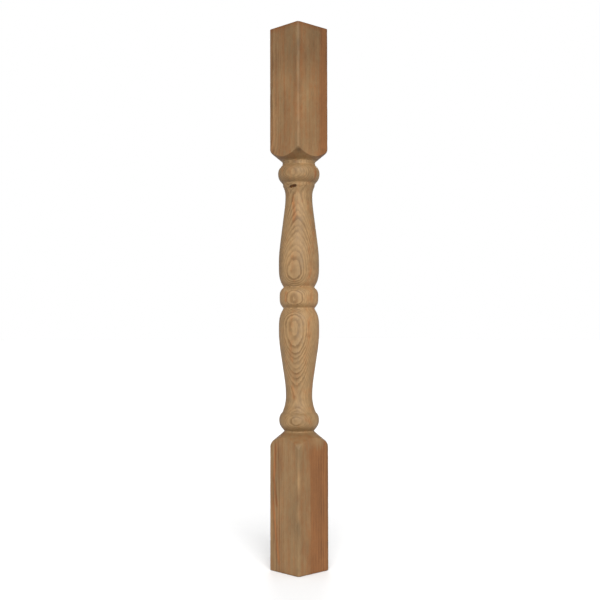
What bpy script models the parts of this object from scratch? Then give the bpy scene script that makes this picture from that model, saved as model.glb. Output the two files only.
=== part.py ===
"""Turned wooden spindle with square ends, for a porch or stair railing.

A square blank with eased long edges is turned between its two ends into a run
of beads, coves and two vase shapes that meet at a bead half way up. Both ends
stay square. The whole spindle is one piece of wood.

Units are metres, +Z is up, and the spindle stands on its lower end with the
origin at the middle of that end.
"""

import math

import bmesh
import bpy

# Blank
SPINDLE_LENGTH = 0.813
BLOCK_SIDE = 0.0635
EDGE_EASE = 0.004
EDGE_EASE_SEGMENTS = 4
END_EASE = 0.0012
END_EASE_SEGMENTS = 2

# Depths of the turned members, each measured in from the flats of the blank
LOWER_QUIRK_DEPTH = 0.01055
LOWER_BEAD_DEPTH = 0.00195
LOWER_BEAD_EDGE_DEPTH = 0.00695
LOWER_NECK_DEPTH = 0.01195
BELLY_DEPTH = 0.0015
WAIST_DEPTH = 0.00935
MIDDLE_BEAD_DEPTH = 0.00275
UPPER_NECK_DEPTH = 0.01155
LOWER_FILLET_DEPTH = 0.00795
UPPER_BEAD_DEPTH = 0.0005
UPPER_FILLET_DEPTH = 0.0073

# Heights of the members, in order from the lower square up
LOWER_SQUARE_HEIGHT = 0.182
LOWER_BEAD_UNDERSIDE = 0.0161
LOWER_BEAD_TOPSIDE = 0.0121
LOWER_COVE_HEIGHT = 0.0236
LOWER_VASE_HEIGHT = 0.098
LOWER_VASE_SHOULDER = 0.0333
MIDDLE_BEAD_UNDERSIDE = 0.0164
MIDDLE_BEAD_TOPSIDE = 0.0152
UPPER_VASE_FOOT = 0.0343
UPPER_VASE_HEIGHT = 0.1026
UPPER_COVE_HEIGHT = 0.0151
LOWER_FILLET_HEIGHT = 0.0036
UPPER_BEAD_UNDERSIDE = 0.0151
UPPER_BEAD_TOPSIDE = 0.0131
UPPER_FILLET_HEIGHT = 0.0048

# Shoulders between round and square: how steep the cone is, and the radius that
# rounds it over where it runs out onto the long edges of the blank
SHOULDER_PITCH = math.radians(39.5)
LOWER_SHOULDER_ROUND = 0.0145
UPPER_SHOULDER_ROUND = 0.0095

# Fullness of the rounded members: 2 is a parabola, and more is flatter on the
# crown and rounder at the edge
BEAD_FULLNESS = 2.3
MIDDLE_BEAD_FULLNESS = 3.3
BELLY_FULLNESS = 3.5
COVE_FULLNESS = 2.0

# Shares of a vase's height that curve in at its neck and out at its belly
LOWER_NECK_SHARE = 0.26
LOWER_BELLY_SHARE = 0.31
UPPER_NECK_SHARE = 0.17
UPPER_BELLY_SHARE = 0.29

# How far the turning stays outside the long edges, and past the ends
TURNING_CLEARANCE = 0.00015
TURNING_OVERRUN = 0.005

# Facets. Those round the axis come in eights, so that one edge lies on each
# diagonal of the blank, and the steps of a curve crowd towards its edge when
# the crowding is under 1
TURNED_FACETS = 48
EDGE_CROWDING = 0.8
BEAD_STEPS = 5
COVE_STEPS = 3
VASE_STEPS = 8
SHOULDER_STEPS = 4

SMOOTH_ANGLE = math.radians(28.0)
EDGE_ANGLE = math.radians(60.0)
MERGE_DISTANCE = 0.00001

WOOD_COLOUR = (0.352, 0.208, 0.103, 1.0)
WOOD_ROUGHNESS = 0.62


def clear_scene():
    """Remove whatever the open scene holds."""
    for item in list(bpy.context.scene.objects):
        bpy.data.objects.remove(item, do_unlink=True)


def new_collection(name):
    """Add a collection to the scene and return it."""
    collection = bpy.data.collections.new(name)
    bpy.context.scene.collection.children.link(collection)
    return collection


def new_object(name, mesh, collection):
    """Add an object that holds a mesh and return it."""
    item = bpy.data.objects.new(name, mesh)
    collection.objects.link(item)
    return item


def cut_radius(depth):
    """Radius of a member that is cut to a depth below the flats of the blank."""
    return BLOCK_SIDE / 2 - depth


def edge_radius():
    """Radius from the axis to the crown of an eased long edge."""
    return (BLOCK_SIDE / 2 - EDGE_EASE) * math.sqrt(2) + EDGE_EASE


def turning_radius():
    """Radius of the turning beside the square ends, just clear of the long edges."""
    return edge_radius() + TURNING_CLEARANCE


def rounded(crown, end, fullness, steps):
    """Points after the crown of a rounded member, out to where it ends.

    The curve runs along the axis at its crown and falls away ever faster. A
    point is its radius and its height.
    """
    points = []
    for step in range(1, steps + 1):
        along = (step / steps) ** EDGE_CROWDING
        radius = crown[0] + (end[0] - crown[0]) * along**fullness
        height = crown[1] + (end[1] - crown[1]) * along
        points.append((radius, height))
    return points


def vase(neck, belly, neck_share, belly_share, steps):
    """Points after the neck of a vase, out to its belly.

    The slope grows evenly over the neck's share of the height, holds, and fades
    evenly over the belly's share.
    """
    slope = 1 / (1 - (neck_share + belly_share) / 2)
    points = []
    for step in range(1, steps + 1):
        along = step / steps
        if along < neck_share:
            out = slope * along**2 / (2 * neck_share)
        elif along > 1 - belly_share:
            out = 1 - slope * (1 - along) ** 2 / (2 * belly_share)
        else:
            out = slope * (along - neck_share / 2)
        radius = neck[0] + (belly[0] - neck[0]) * out
        height = neck[1] + (belly[1] - neck[1]) * along
        points.append((radius, height))
    return points


def shoulder_rise(foot_radius, rounding):
    """Height of a shoulder, from the foot of its cone to the end of its rounding."""
    turn = math.pi / 2 - SHOULDER_PITCH
    cone_end = turning_radius() - rounding * (1 - math.cos(turn))
    cone_rise = (cone_end - foot_radius) * math.tan(SHOULDER_PITCH)
    return cone_rise + rounding * math.sin(turn)


def shoulder_round(end_height, rounding, way):
    """Points round the outer end of a shoulder, from where it leaves the edges inwards.

    The way is 1 where the shoulder lies above its end height and -1 where it
    lies below.
    """
    turn = math.pi / 2 - SHOULDER_PITCH
    points = []
    for step in range(SHOULDER_STEPS + 1):
        angle = turn * step / SHOULDER_STEPS
        radius = turning_radius() - rounding * (1 - math.cos(angle))
        points.append((radius, end_height + way * rounding * math.sin(angle)))
    return points


def backwards(start, points):
    """A stretch of profile run back to its start, less the far end already drawn."""
    return list(reversed([start] + points[:-1]))


def lower_members():
    """Profile from under the lower end up to the neck of the lower vase."""
    quirk_radius = cut_radius(LOWER_QUIRK_DEPTH)
    points = [(0.0, -TURNING_OVERRUN), (turning_radius(), -TURNING_OVERRUN)]
    points += shoulder_round(LOWER_SQUARE_HEIGHT, LOWER_SHOULDER_ROUND, 1)
    height = LOWER_SQUARE_HEIGHT + shoulder_rise(quirk_radius, LOWER_SHOULDER_ROUND)
    quirk = (quirk_radius, height)
    crown = (cut_radius(LOWER_BEAD_DEPTH), quirk[1] + LOWER_BEAD_UNDERSIDE)
    bead_top = (cut_radius(LOWER_BEAD_EDGE_DEPTH), crown[1] + LOWER_BEAD_TOPSIDE)
    neck = (cut_radius(LOWER_NECK_DEPTH), bead_top[1] + LOWER_COVE_HEIGHT)
    points.append(quirk)
    points += backwards(crown, rounded(crown, quirk, BEAD_FULLNESS, BEAD_STEPS))
    points += rounded(crown, bead_top, BEAD_FULLNESS, BEAD_STEPS)
    points += backwards(neck, rounded(neck, bead_top, COVE_FULLNESS, COVE_STEPS))
    return points


def middle_members(neck):
    """Profile from the neck of the lower vase up to the neck of the upper one."""
    belly_radius = cut_radius(BELLY_DEPTH)
    waist_radius = cut_radius(WAIST_DEPTH)
    lower_belly = (belly_radius, neck[1] + LOWER_VASE_HEIGHT)
    lower_waist = (waist_radius, lower_belly[1] + LOWER_VASE_SHOULDER)
    crown = (cut_radius(MIDDLE_BEAD_DEPTH), lower_waist[1] + MIDDLE_BEAD_UNDERSIDE)
    upper_waist = (waist_radius, crown[1] + MIDDLE_BEAD_TOPSIDE)
    upper_belly = (belly_radius, upper_waist[1] + UPPER_VASE_FOOT)
    upper_neck = (cut_radius(UPPER_NECK_DEPTH), upper_belly[1] + UPPER_VASE_HEIGHT)

    points = vase(neck, lower_belly, LOWER_NECK_SHARE, LOWER_BELLY_SHARE, VASE_STEPS)
    points += rounded(lower_belly, lower_waist, BELLY_FULLNESS, BEAD_STEPS)
    underside = rounded(crown, lower_waist, MIDDLE_BEAD_FULLNESS, BEAD_STEPS)
    points += backwards(crown, underside)
    points += rounded(crown, upper_waist, MIDDLE_BEAD_FULLNESS, BEAD_STEPS)
    foot = rounded(upper_belly, upper_waist, BELLY_FULLNESS, BEAD_STEPS)
    points += backwards(upper_belly, foot)
    rise = vase(upper_neck, upper_belly, UPPER_NECK_SHARE, UPPER_BELLY_SHARE, VASE_STEPS)
    points += backwards(upper_neck, rise)
    return points


def upper_members(neck):
    """Profile from the neck of the upper vase up past the upper end."""
    fillet_radius = cut_radius(LOWER_FILLET_DEPTH)
    cove_top = (fillet_radius, neck[1] + UPPER_COVE_HEIGHT)
    bead_foot = (fillet_radius, cove_top[1] + LOWER_FILLET_HEIGHT)
    crown = (cut_radius(UPPER_BEAD_DEPTH), bead_foot[1] + UPPER_BEAD_UNDERSIDE)
    bead_top = (cut_radius(UPPER_FILLET_DEPTH), crown[1] + UPPER_BEAD_TOPSIDE)
    shoulder_foot = (bead_top[0], bead_top[1] + UPPER_FILLET_HEIGHT)
    square_start = shoulder_foot[1] + shoulder_rise(shoulder_foot[0], UPPER_SHOULDER_ROUND)

    points = rounded(neck, cove_top, COVE_FULLNESS, COVE_STEPS)
    points.append(bead_foot)
    points += backwards(crown, rounded(crown, bead_foot, BEAD_FULLNESS, BEAD_STEPS))
    points += rounded(crown, bead_top, BEAD_FULLNESS, BEAD_STEPS)
    points.append(shoulder_foot)
    points += reversed(shoulder_round(square_start, UPPER_SHOULDER_ROUND, -1))
    past_end = max(SPINDLE_LENGTH, square_start) + TURNING_OVERRUN
    points += [(turning_radius(), past_end), (0.0, past_end)]
    return points


def turned_profile():
    """Whole profile of the turning, from top to bottom."""
    points = lower_members()
    points += middle_members(points[-1])
    points += upper_members(points[-1])
    return list(reversed(points))


def make_turning(collection):
    """Make the closed turned shape that the blank is cut down to."""
    points = turned_profile()
    mesh = bpy.data.meshes.new("turning")
    mesh.from_pydata(
        [(radius, 0.0, height) for radius, height in points],
        [(index, index + 1) for index in range(len(points) - 1)],
        [],
    )
    turning = new_object("turning", mesh, collection)
    screw = turning.modifiers.new("turned", "SCREW")
    screw.axis = "Z"
    screw.angle = math.tau
    screw.steps = TURNED_FACETS
    screw.render_steps = TURNED_FACETS
    screw.use_merge_vertices = True
    screw.merge_threshold = MERGE_DISTANCE
    screw.use_smooth_shade = True
    turning.hide_render = True
    turning.display_type = "WIRE"
    return turning


def make_blank(name, collection):
    """Make the square blank with its long edges and its two ends eased."""
    mesh = bpy.data.meshes.new(name)
    shape = bmesh.new()
    bmesh.ops.create_cube(shape, size=1.0)
    bmesh.ops.scale(shape, verts=shape.verts, vec=(BLOCK_SIDE, BLOCK_SIDE, SPINDLE_LENGTH))
    bmesh.ops.translate(shape, verts=shape.verts, vec=(0.0, 0.0, SPINDLE_LENGTH / 2))
    weights = shape.edges.layers.float.new("bevel_weight_edge")
    for edge in shape.edges:
        along = edge.verts[0].co - edge.verts[1].co
        edge[weights] = 1.0 if abs(along.z) > 0.0 else 0.0
    shape.to_mesh(mesh)
    shape.free()
    blank = new_object(name, mesh, collection)

    long_edges = blank.modifiers.new("long edges", "BEVEL")
    long_edges.limit_method = "WEIGHT"
    long_edges.width = EDGE_EASE
    long_edges.segments = EDGE_EASE_SEGMENTS

    ends = blank.modifiers.new("ends", "BEVEL")
    ends.limit_method = "ANGLE"
    ends.angle_limit = EDGE_ANGLE
    ends.width = END_EASE
    ends.segments = END_EASE_SEGMENTS
    return blank


def turn_blank(blank, turning):
    """Cut the blank down to the turned shape."""
    cut = blank.modifiers.new("turning", "BOOLEAN")
    cut.operation = "INTERSECT"
    cut.solver = "EXACT"
    cut.object = turning


def smooth_turning(item):
    """Settle the modifiers into the mesh and shade its round stretches smooth."""
    evaluated = item.evaluated_get(bpy.context.evaluated_depsgraph_get())
    mesh = bpy.data.meshes.new_from_object(evaluated)
    item.modifiers.clear()
    item.data = mesh
    mesh.name = item.name
    mesh.shade_smooth()
    mesh.set_sharp_from_angle(angle=SMOOTH_ANGLE)


def wood_material():
    """Plain oiled softwood."""
    material = bpy.data.materials.new("softwood")
    material.use_nodes = True
    shader = material.node_tree.nodes["Principled BSDF"]
    shader.inputs["Base Color"].default_value = WOOD_COLOUR
    shader.inputs["Roughness"].default_value = WOOD_ROUGHNESS
    shader.inputs["Metallic"].default_value = 0.0
    material.diffuse_color = WOOD_COLOUR
    return material


def main():
    """Build the spindle."""
    clear_scene()
    parts = new_collection("wood_spindle")
    cutters = new_collection("cutters")

    turning = make_turning(cutters)
    spindle = make_blank("spindle", parts)
    turn_blank(spindle, turning)
    smooth_turning(spindle)
    spindle.data.materials.clear()
    spindle.data.materials.append(wood_material())


main()
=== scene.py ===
"""A turned softwood spindle for a porch or stair railing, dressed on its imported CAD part."""

import logging
import math
from collections.abc import Mapping, Sequence
from dataclasses import dataclass, field, fields
from enum import Enum
from typing import Any

import bpy
import numpy as np
from mathutils import Matrix, Vector, noise


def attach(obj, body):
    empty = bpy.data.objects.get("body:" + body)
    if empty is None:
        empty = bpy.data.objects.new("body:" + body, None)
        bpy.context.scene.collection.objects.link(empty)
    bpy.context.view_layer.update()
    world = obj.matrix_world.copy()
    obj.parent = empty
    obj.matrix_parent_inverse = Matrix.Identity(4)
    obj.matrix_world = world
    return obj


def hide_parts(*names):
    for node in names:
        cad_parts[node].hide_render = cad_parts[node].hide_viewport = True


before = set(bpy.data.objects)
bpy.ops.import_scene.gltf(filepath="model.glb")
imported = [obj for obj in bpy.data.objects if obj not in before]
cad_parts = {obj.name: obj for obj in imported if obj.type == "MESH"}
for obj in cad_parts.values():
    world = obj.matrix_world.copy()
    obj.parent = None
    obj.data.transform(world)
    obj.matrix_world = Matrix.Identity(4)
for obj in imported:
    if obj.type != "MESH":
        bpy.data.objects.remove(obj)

LOG = logging.getLogger("spindle")
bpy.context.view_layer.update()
BODY = "root"
CAD_NODE = "spindle"
MILLIMETRE = 0.001
PHOTO_SIDE = 600
TINY = 1e-12
FULL_TURN = 2.0 * math.pi
# Where the flats of the squares lie, in millimetres from the axis.
FLAT = 31.75
# How fast the finer layers of a cloud weaken, and how much finer each one is.
NOISE_DROP, NOISE_STEP = 1.0, 2.0
# The places and the shares by which a course is softened.
SOFTENING = ((-1.5, 0.1), (-0.75, 0.2), (0.0, 0.4), (0.75, 0.2), (1.5, 0.1))
# The sockets of a colour mix by number, because several have the same name.
MIX_FACTOR, MIX_FIRST, MIX_SECOND, MIX_RESULT = 0, 6, 7, 2

Pair = tuple[float, float]
Triple = tuple[float, float, float]
Colour = tuple[float, float, float, float]


def smooth_step(value: np.ndarray, low: float, high: float) -> np.ndarray:
    """Rise softly from 0 at low to 1 at high, or fall where low is the greater."""
    share = np.clip((value - low) / (high - low), 0.0, 1.0)
    return share * share * (3.0 - 2.0 * share)


def bell(distance: np.ndarray, width: float) -> np.ndarray:
    """Give 1 at no distance and fade as a bell of that width."""
    return np.exp(-((distance / width) ** 2))


def aimed(angle: float) -> np.ndarray:
    """Give the way that an angle points in the plan."""
    return np.array([math.cos(angle), math.sin(angle)])


def level(plan: np.ndarray, height: float | np.ndarray) -> np.ndarray:
    """Lift the places of a plan to one height, or each to its own."""
    return np.column_stack([plan, np.broadcast_to(height, len(plan))])


@dataclass(frozen=True)
class Cloud:
    """Smooth lumps of noise that fill space, their size in millimetres."""

    strength: float
    lump: Triple
    layers: int
    shift: float

    def at(self, points: np.ndarray) -> np.ndarray:
        """Sample the noise.

        Args:
            points: places in millimetres, one row each.

        Returns:
            One value for each point, mostly within 0.6 of the strength.
        """
        scaled = points / np.array(self.lump) + self.shift
        found = [noise.fractal(Vector(place), NOISE_DROP, NOISE_STEP, self.layers) for place in scaled]
        return self.strength * np.array(found)


class Surface(Enum):
    """How a stretch of the wood was worked."""

    SAWN = 0
    PLANED = 1
    TURNED = 2


class Bend(Enum):
    """How a member of the turning runs, going up."""

    TO_CROWN = 0
    FROM_CROWN = 1
    WIDENING = 2
    NARROWING = 3
    UPRIGHT = 4


Rows = list[tuple[np.ndarray, Surface]]


@dataclass(frozen=True)
class Station:
    """One level of the turned profile."""

    radius: float
    height: float


@dataclass(frozen=True)
class Crease:
    """A sharp corner of the profile that sanding has left slightly hollow, in metres, with a painted
    highlight along its bottom.
    """

    radius: float
    height: float
    ease: float
    reach: float
    # How far above the corner the painted highlight at the crease bottom lies.
    rise: float = 0.0004
    # How tall the painted highlight is.
    highlight_width: float = 0.0011
    full_share: float = 0.25
    fading: Pair = (3.0, 1.5)
    # How far out from the corner the painted highlight reaches.
    highlight_reach: Pair = (0.0032, 0.0016)

    def soften(self, points: np.ndarray) -> np.ndarray:
        """Fill the crease a little.

        Args:
            points: the skin, rows by columns by three.

        Returns:
            The skin, further out from the axis near the crease.
        """
        reach = np.hypot(points[:, :, 0], points[:, :, 1])
        outer, inner = (self.radius + share * self.reach for share in self.fading)
        near = smooth_step(np.abs(points[:, :, 2] - self.height), self.reach, self.reach * self.full_share)
        near = near * smooth_step(reach, outer, inner)
        filled = self.radius + np.hypot(np.maximum(reach - self.radius, 0.0), self.ease * near)
        moved = points.copy()
        moved[:, :, :2] *= (np.maximum(filled, reach) / np.maximum(reach, TINY))[:, :, None]
        return np.where((near > 0.0)[:, :, None], moved, points)

    def bottom(self, points: np.ndarray) -> np.ndarray:
        """Find where the painted highlight lies along the bottom of the crease.

        Args:
            points: places in metres, one row each.

        Returns:
            1 at the bottom of the crease, fading to 0 beside it: the strength of the painted highlight.
        """
        reach = np.hypot(points[:, 0], points[:, 1])
        outer, inner = (self.radius + beside for beside in self.highlight_reach)
        return bell(points[:, 2] - self.height - self.rise, self.highlight_width) * smooth_step(reach, outer, inner)


# The fullness of each rounded member and the step between its stations, in metres.
BEAD: Pair = (2.3, 0.00075)
MIDDLE_BEAD: Pair = (3.3, 0.00075)
BELLY: Pair = (3.5, 0.0011)
LOWER_COVE: Pair = (2.0, 0.0011)
UPPER_COVE: Pair = (2.0, 0.00075)
# The ease and the reach of a fillet's inner corner, in metres.
CORNER: Pair = (0.0003, 0.0016)


@dataclass(frozen=True)
class Member:
    """One member of the turning, in metres: how long it is and how deep under the flats its top lies.

    The measure is the fullness and the step of a rounded member, or the two shares of a vase. The
    crease is the ease and the reach of a sharp corner at its top.
    """

    rise: float
    depth: float
    bend: Bend = Bend.UPRIGHT
    measure: Pair = (0.0, 0.0)
    crease: Pair | None = None


@dataclass(frozen=True)
class TurnedProfile:
    """The line that the turning follows, from the lower square to the upper one, in metres."""

    half_side: float = 0.03175
    lower_square: float = 0.182
    lower_quirk_depth: float = 0.01055
    lower_quirk_crease: Pair = (0.0010, 0.0045)
    lower_bead_underside: Member = Member(0.0161, 0.00195, Bend.TO_CROWN, BEAD)
    lower_bead_topside: Member = Member(0.0121, 0.00695, Bend.FROM_CROWN, BEAD)
    lower_cove: Member = Member(0.0236, 0.01195, Bend.TO_CROWN, LOWER_COVE)
    lower_vase: Member = Member(0.098, 0.0015, Bend.WIDENING, (0.26, 0.31))
    lower_vase_shoulder: Member = Member(0.0333, 0.00935, Bend.FROM_CROWN, BELLY, (0.0011, 0.0045))
    middle_bead_underside: Member = Member(0.0164, 0.00275, Bend.TO_CROWN, MIDDLE_BEAD)
    middle_bead_topside: Member = Member(0.0152, 0.00935, Bend.FROM_CROWN, MIDDLE_BEAD, (0.0008, 0.0045))
    upper_vase_foot: Member = Member(0.0343, 0.0015, Bend.TO_CROWN, BELLY)
    upper_vase: Member = Member(0.1026, 0.01155, Bend.NARROWING, (0.17, 0.29))
    upper_cove: Member = Member(0.0151, 0.00795, Bend.FROM_CROWN, UPPER_COVE)
    lower_fillet: Member = Member(0.0036, 0.00795, crease=CORNER)
    upper_bead_underside: Member = Member(0.0151, 0.0005, Bend.TO_CROWN, BEAD)
    upper_bead_topside: Member = Member(0.0131, 0.0073, Bend.FROM_CROWN, BEAD, CORNER)
    upper_fillet: Member = Member(0.0048, 0.0073, crease=CORNER)
    pitch: float = math.radians(39.5)
    lower_rounding: float = 0.0145
    upper_rounding: float = 0.0095
    crowding: float = 0.8
    vase_step: float = 0.0016
    scored_line: float = 0.2345
    scored_width: float = 0.0009
    scored_depth: float = 0.00035
    groove_step: float = 0.0005
    groove_beside: float = 0.6
    scored_beside: float = 3.0
    fewest_steps: int = 4

    def members(self) -> list[Member]:
        """List the members, bottom up."""
        values = (getattr(self, item.name) for item in fields(self))
        return [value for value in values if isinstance(value, Member)]

    def radius(self, depth: float) -> float:
        """Give the radius that lies that deep under the flats."""
        return self.half_side - depth

    def rounded(self, crown: Station, end: Station, fullness: float, step: float) -> list[Station]:
        """Run from a crown, where the line is upright, over its shoulder to an end.

        Args:
            crown: the fullest or the narrowest place.
            end: the place where the curve stops.
            fullness: how long the curve stays near the crown's radius.
            step: about how far apart the stations lie.

        Returns:
            The stations after the crown, the last one at the end.
        """
        count = max(self.fewest_steps, round(abs(end.height - crown.height) / step))
        found = []
        for number in range(1, count + 1):
            along = (number / count) ** self.crowding
            radius = crown.radius + (end.radius - crown.radius) * along**fullness
            found.append(Station(radius, crown.height + (end.height - crown.height) * along))
        return found

    def vase(self, neck: Station, belly: Station, shares: Pair) -> list[Station]:
        """Run the long slope of a vase from its neck to its belly.

        Args:
            neck: the narrow end.
            belly: the full end.
            shares: how much of the length the curve at the neck and the one at the belly take.

        Returns:
            The stations after the neck, the last one at the belly.
        """
        neck_share, belly_share = shares
        steepest = 1.0 / (1.0 - (neck_share + belly_share) / 2.0)
        count = round(abs(belly.height - neck.height) / self.vase_step)
        found = []
        for number in range(1, count + 1):
            along = number / count
            if along < neck_share:
                rise = steepest * along**2 / (2.0 * neck_share)
            elif along > 1.0 - belly_share:
                rise = 1.0 - steepest * (1.0 - along) ** 2 / (2.0 * belly_share)
            else:
                rise = steepest * (along - neck_share / 2.0)
            radius = neck.radius + (belly.radius - neck.radius) * rise
            found.append(Station(radius, neck.height + (belly.height - neck.height) * along))
        return found

    def run(self, start: Station, end: Station, member: Member) -> list[Station]:
        """Run one member of the turning upwards.

        Args:
            start: its lower end.
            end: its upper end.
            member: how it bends and by which measure.

        Returns:
            The stations after the start, the last one at the end.
        """
        if member.bend is Bend.TO_CROWN:
            return self.rounded(end, start, *member.measure)[:-1][::-1] + [end]
        if member.bend is Bend.FROM_CROWN:
            return self.rounded(start, end, *member.measure)
        if member.bend is Bend.WIDENING:
            return self.vase(start, end, member.measure)
        if member.bend is Bend.NARROWING:
            return self.vase(end, start, member.measure)[:-1][::-1] + [end]
        return [Station(end.radius, (start.height + end.height) / 2.0), end]

    def stations(self, foot: float) -> list[Station]:
        """List the turned stations from the quirk under the lower bead to the foot of the upper shoulder.

        Args:
            foot: the height of the quirk.

        Returns:
            The stations, bottom up.
        """
        start = Station(self.radius(self.lower_quirk_depth), foot)
        line = [start]
        for member in self.members():
            end = Station(self.radius(member.depth), start.height + member.rise)
            line += self.run(start, end, member)
            start = end
        return line

    def creases(self, foot: float) -> list[Crease]:
        """List the sharp corners that the turning tool left, bottom up.

        Args:
            foot: the height of the quirk.

        Returns:
            The grooves, and the inner corners of the two fillets.
        """
        found = [Crease(self.radius(self.lower_quirk_depth), foot, *self.lower_quirk_crease)]
        height = foot
        for member in self.members():
            height += member.rise
            if member.crease:
                found.append(Crease(self.radius(member.depth), height, *member.crease))
        return found

    def closer(self, line: Sequence[Station], creases: Sequence[Crease]) -> list[Station]:
        """Lay the stations closer together beside the creases and the scored line.

        Args:
            line: the stations, bottom up.
            creases: the sharp corners of the profile.

        Returns:
            The same stations with more between them there.
        """
        fine = [(crease.height, self.groove_beside * crease.reach) for crease in creases]
        fine.append((self.scored_line, self.scored_beside * self.scored_width))
        found = [line[0]]
        for low, high in zip(line, line[1:]):
            middle = (low.height + high.height) / 2.0
            beside = any(abs(middle - height) < reach for height, reach in fine)
            parts = max(1, round((high.height - low.height) / self.groove_step)) if beside else 1
            for part in range(1, parts + 1):
                share = part / parts
                radius = low.radius + (high.radius - low.radius) * share
                found.append(Station(radius, low.height + (high.height - low.height) * share))
        return found


@dataclass(frozen=True)
class SquareShoulder:
    """The cone where the turning runs out into a square, with its rounded end."""

    foot_radius: float
    full_radius: float
    rounding: float
    pitch: float

    @property
    def turn(self) -> float:
        """Give the angle that the rounding covers."""
        return math.pi / 2.0 - self.pitch

    @property
    def cone_radius(self) -> float:
        """Give the radius where the cone meets the rounding."""
        return self.full_radius - self.rounding * (1.0 - math.cos(self.turn))

    @property
    def length(self) -> float:
        """Give the whole length of the shoulder along the axis."""
        cone = (self.cone_radius - self.foot_radius) * math.tan(self.pitch)
        return cone + self.rounding * math.sin(self.turn)

    def distance_from_square(self, radius: np.ndarray) -> np.ndarray:
        """Say where the shoulder has each radius.

        Args:
            radius: distances from the axis, in metres.

        Returns:
            How far past the end of the square each one is.
        """
        drop = np.clip((self.full_radius - radius) / self.rounding, 0.0, 1.0)
        on_round = self.rounding * np.sin(np.arccos(1.0 - drop))
        cone = self.rounding * math.sin(self.turn) + (self.cone_radius - radius) * math.tan(self.pitch)
        return np.where(radius > self.cone_radius, on_round, cone)


@dataclass(frozen=True)
class SquareBlank:
    """The planed square stick that the spindle is turned from, in metres."""

    side: float = 0.0635
    edge_ease: float = 0.004
    end_ease: float = 0.0012
    length: float = 0.813
    corner_steps: int = 8
    face_steps: int = 36
    turning_clearance: float = 0.00015
    first_turn: float = 0.75 * math.pi

    @property
    def turning_radius(self) -> float:
        """Give the radius where the lathe tool first meets the eased edges."""
        flat = self.side / 2.0 - self.edge_ease
        return flat * math.sqrt(2.0) + self.edge_ease + self.turning_clearance

    def outline(self) -> tuple[np.ndarray, np.ndarray]:
        """Walk once round the square, from the middle of its back edge.

        Returns:
            The places in the plan, and the way out of the wood at each, one row each.
        """
        half = self.side / 2.0
        flat = half - self.edge_ease
        quarter = FULL_TURN / 4.0
        places, ways = [], []

        def round_off(centre: np.ndarray, start: float) -> None:
            """Walk round half of an eased edge.

            Args:
                centre: the middle of its rounding in the plan.
                start: the angle to begin at.
            """
            for step in range(self.corner_steps // 2):
                out = aimed(start + step / self.corner_steps * quarter)
                places.append(centre + self.edge_ease * out)
                ways.append(out)

        for corner in range(4):
            middle_way = self.first_turn + corner * quarter
            round_off(flat * math.sqrt(2.0) * aimed(middle_way), middle_way)
            face_way = middle_way + quarter / 2.0
            out = aimed(face_way)
            along = np.array([-out[1], out[0]])
            for step in range(self.face_steps):
                places.append(half * out + along * flat * (2.0 * step / self.face_steps - 1.0))
                ways.append(out)
            round_off(flat * (out + along), face_way)
        return np.array(places), np.array(ways)


@dataclass(frozen=True)
class Knot:
    """A small dead knot of two lobes with a neck between them, under the upper bead, in millimetres."""

    lobes: tuple[Triple, ...] = ((6.1, -22.7, 570.9), (11.3, -20.6, 572.1), (8.8, -21.7, 571.5))
    half_widths: Triple = (2.9, 3.6, 2.7)
    half_heights: Triple = (2.1, 2.2, 1.5)
    ragged: Cloud = Cloud(0.22, (1.8, 1.8, 1.8), 1, 2.2)
    farthest: float = 9.0
    swirl: float = 5.0
    swirl_width: float = 8.5
    swirl_flatness: float = 1.1
    depth: float = 0.9
    hollow: Pair = (1.15, 0.35)
    lip_place: float = 1.5
    lip_width: float = 0.5
    lip_height: float = 0.15

    def spread(self, points: np.ndarray) -> np.ndarray:
        """Say how far each point lies from the nearest lobe.

        Args:
            points: places in millimetres, one row each.

        Returns:
            The distance, where 1 is the lobe's rim.
        """
        found = np.full(len(points), self.farthest)
        for lobe, half_width, half_height in zip(self.lobes, self.half_widths, self.half_heights):
            off = points - np.array(lobe)
            across = np.hypot(off[:, 0], off[:, 1]) / half_width
            found = np.minimum(found, np.hypot(across, off[:, 2] / half_height))
        return found + self.ragged.at(points)

    def pull(self, points: np.ndarray) -> np.ndarray:
        """Bend the grain round the knot.

        Args:
            points: places in millimetres, one row each.

        Returns:
            How far the grain is pushed out at each, in millimetres.
        """
        off = points - np.mean(np.array(self.lobes), axis=0)
        reach = np.hypot(np.hypot(off[:, 0], off[:, 1]), off[:, 2] * self.swirl_flatness)
        return self.swirl * bell(reach, self.swirl_width)

    def relief(self, spread: np.ndarray) -> np.ndarray:
        """Give how far the lip round the knot stands out and the knot itself sinks, in millimetres."""
        sunk = smooth_step(spread, *self.hollow) * self.depth
        return bell(spread - self.lip_place, self.lip_width) * self.lip_height - sunk


@dataclass(frozen=True)
class Course:
    """A number that changes softly along the stick: heights in millimetres, and the value at each."""

    heights: tuple[float, ...]
    values: tuple[float, ...]
    softness: float = 9.0

    def at(self, height: np.ndarray) -> np.ndarray:
        """Read the course off, with its bends rounded.

        Args:
            height: heights in millimetres.

        Returns:
            The value at each.
        """
        found = np.zeros_like(height)
        for step, share in SOFTENING:
            found += share * np.interp(height + step * self.softness, self.heights, self.values)
        return found


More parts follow.
